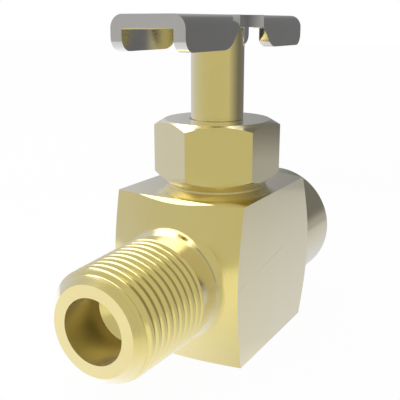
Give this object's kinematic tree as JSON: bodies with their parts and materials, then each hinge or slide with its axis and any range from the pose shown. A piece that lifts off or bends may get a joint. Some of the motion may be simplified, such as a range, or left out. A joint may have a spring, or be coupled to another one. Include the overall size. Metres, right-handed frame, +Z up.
{
  "type": "shut-off valve",
  "caption": "Small brass block shut-off valve with a male pipe inlet, a female pipe outlet, a screwed hexagonal bonnet and a stamped steel T-handle on a rising stem.",
  "frame": {"origin": "on the block's flat base, on the stem's axis", "axes": "+Z up along the stem, +X along the port axis towards the female outlet, +Y across the block"},
  "size_m": [0.0606, 0.0228, 0.0534],
  "materials": {
    "body_brass": "milled flats, satin turned faces",
    "bonnet_brass": "drawn flats, turned chamfers",
    "stem_brass": "turned and polished",
    "trim_brass": "turned",
    "handle_steel": "plated sheet, satin grey",
    "spring_steel": "plain",
    "seal_rubber": "satin black",
    "ptfe": "waxy white"
  },
  "bodies": {
    "valve": {"valve_body": "body_brass", "bonnet": "bonnet_brass", "bonnet_o_ring": "seal_rubber", "stem_o_ring": "seal_rubber", "upper_backup_ring": "ptfe", "lower_backup_ring": "ptfe"},
    "disc": {"disc_holder": "trim_brass", "seat_disc": "ptfe", "disc_washer": "trim_brass", "disc_screw": "trim_brass", "swivel_ring": "spring_steel"},
    "spindle": {"stem": "stem_brass", "t_handle": "handle_steel"}
  },
  "joints": [
    {"name": "disc_lift", "type": "slide", "parent": "valve", "child": "disc", "axis": [0, 0, 1], "range_m": [0, 0.0035]},
    {"name": "stem_turn", "type": "hinge", "parent": "disc", "child": "spindle", "pos_m": [0, 0, 0.0369], "axis": [0, 0, 1], "range_deg": [0, 1260]}
  ],
  "couplings": [
    {"joint": "stem_turn", "follows": "disc_lift", "rad_per_m": 6283.2}
  ]
}
